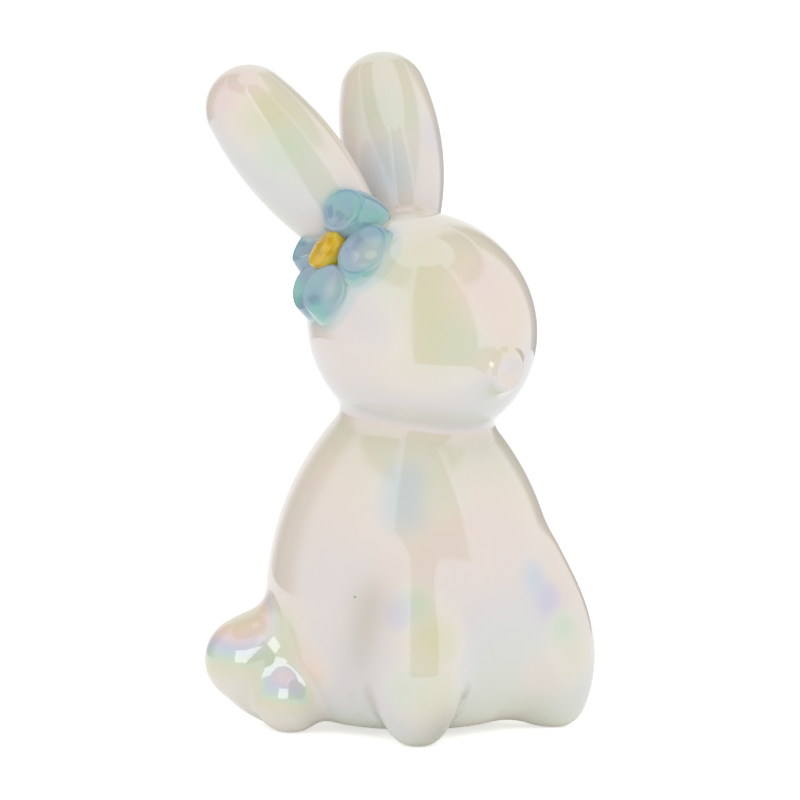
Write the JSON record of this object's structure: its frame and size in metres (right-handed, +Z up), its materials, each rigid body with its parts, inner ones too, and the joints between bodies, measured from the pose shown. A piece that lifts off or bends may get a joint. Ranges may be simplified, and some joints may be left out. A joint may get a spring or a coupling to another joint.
{
  "type": "easter bunny figurine",
  "caption": "Seated rabbit figurine of hollow slip-cast pieces with a pearl glaze, upright ears, round haunches and a flower by one ear.",
  "frame": {"origin": "on the table, under the middle of the outline", "axes": "+Z up along the body's axis, -Y the way the bunny faces, -X its right side, where the flower is"},
  "size_m": [0.1376, 0.1287, 0.2503],
  "materials": {
    "pearl_glaze": "high gloss mother-of-pearl lustre over a warm white glaze",
    "petal_glaze": "high gloss grey-blue glaze with pearl lustre",
    "centre_glaze": "high gloss yellow glaze"
  },
  "bodies": {
    "root": {"body_casting": "pearl_glaze", "front_leg_right": "pearl_glaze", "front_leg_left": "pearl_glaze", "hind_foot_right": "pearl_glaze", "hind_foot_left": "pearl_glaze", "haunch_right": "pearl_glaze", "haunch_left": "pearl_glaze", "tail": "pearl_glaze", "head_casting": "pearl_glaze", "nose_stub": "pearl_glaze", "ear_right": "pearl_glaze", "ear_left": "pearl_glaze", "petal_1": "petal_glaze", "petal_2": "petal_glaze", "petal_3": "petal_glaze", "petal_4": "petal_glaze", "petal_5": "petal_glaze", "flower_centre": "centre_glaze"}
  },
  "joints": []
}
